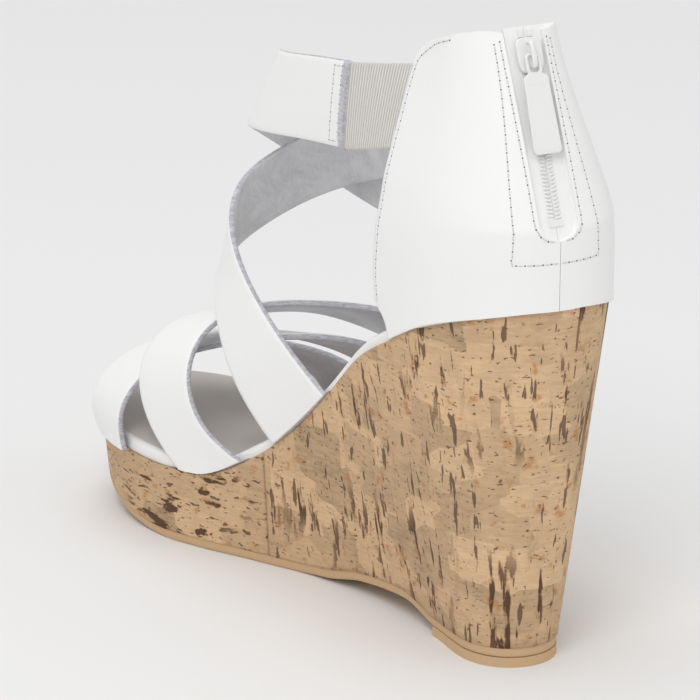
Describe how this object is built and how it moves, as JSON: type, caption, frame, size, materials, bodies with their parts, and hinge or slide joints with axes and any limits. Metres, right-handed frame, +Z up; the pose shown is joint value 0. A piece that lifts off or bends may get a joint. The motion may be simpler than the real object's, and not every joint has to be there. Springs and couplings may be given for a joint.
{
  "type": "wedge sandal",
  "caption": "Right strappy platform wedge sandal with a cork-wrapped wedge, closed heel, elastic ankle strap and a sliding back zip with a swinging pull.",
  "frame": {"origin": "centre of the heel lift's bottom face, on the ground", "axes": "+Z up, toe towards -Y, inner side of the foot towards +X"},
  "size_m": [0.1002, 0.2185, 0.1907],
  "materials": {
    "core_foam": "moulded light wedge foam, hidden under the cork",
    "steel": "plain steel",
    "cork_front": "cork sheet, flecks along the sole",
    "cork_heel": "cork sheet, dark upright cracks",
    "tan_sole": "smooth tan rubber",
    "tan_lift": "smooth tan rubber",
    "board": "pressed fibre board",
    "footbed_foam": "soft footbed foam",
    "sock": "smooth grey beige lining leather",
    "white_leather": "smooth white leather",
    "grey_suede": "napped grey lining",
    "strap_edge": "cut leather edge, grey",
    "elastic": "ribbed cream elastic",
    "zip_tape": "woven white tape",
    "zip_coil": "white coil",
    "zip_metal": "white painted metal"
  },
  "bodies": {
    "shoe": {"wedge_core": "core_foam", "steel_shank": "steel", "cork_wrap_front": "cork_front", "cork_wrap_heel": "cork_heel", "outsole": "tan_sole", "shank_rivets": "steel", "heel_nails": "steel", "heel_lift": "tan_lift", "insole_board": "board", "footbed_foam": "footbed_foam", "sock_lining": "sock", "footbed_binding": "white_leather", "quarter_lining": "grey_suede", "heel_stiffener": "board", "quarter_inner_side": "white_leather", "quarter_outer_side": "white_leather", "zip_tape_inner_side": "zip_tape", "zip_tape_outer_side": "zip_tape", "zip_teeth_inner_side": "zip_coil", "zip_teeth_outer_side": "zip_coil", "zip_bottom_stop": "zip_metal", "zip_top_stops": "zip_metal", "loop_fold": "strap_edge", "elastic_gore": "elastic", "toe_strap_outer": "white_leather", "toe_strap_lining": "grey_suede", "diagonal_strap_outer": "white_leather", "diagonal_strap_lining": "grey_suede", "vamp_strap_outer": "white_leather", "vamp_strap_lining": "grey_suede", "instep_strap_outer": "white_leather", "instep_strap_lining": "grey_suede", "ankle_strap_outer": "white_leather", "ankle_strap_lining": "grey_suede"},
    "slider": {"zip_slider_body": "zip_metal", "zip_bail": "zip_metal"},
    "pull": {"zip_pull": "zip_metal"}
  },
  "joints": [
    {"name": "zip_slide", "type": "slide", "parent": "shoe", "child": "slider", "axis": [0, -0.3955, 0.9184], "range_m": [-0.0415, 0]},
    {"name": "pull_swing", "type": "hinge", "parent": "slider", "child": "pull", "pos_m": [-0.004, 0.0077, 0.18305], "axis": [1, 0, 0], "range_deg": [0, 165]}
  ]
}
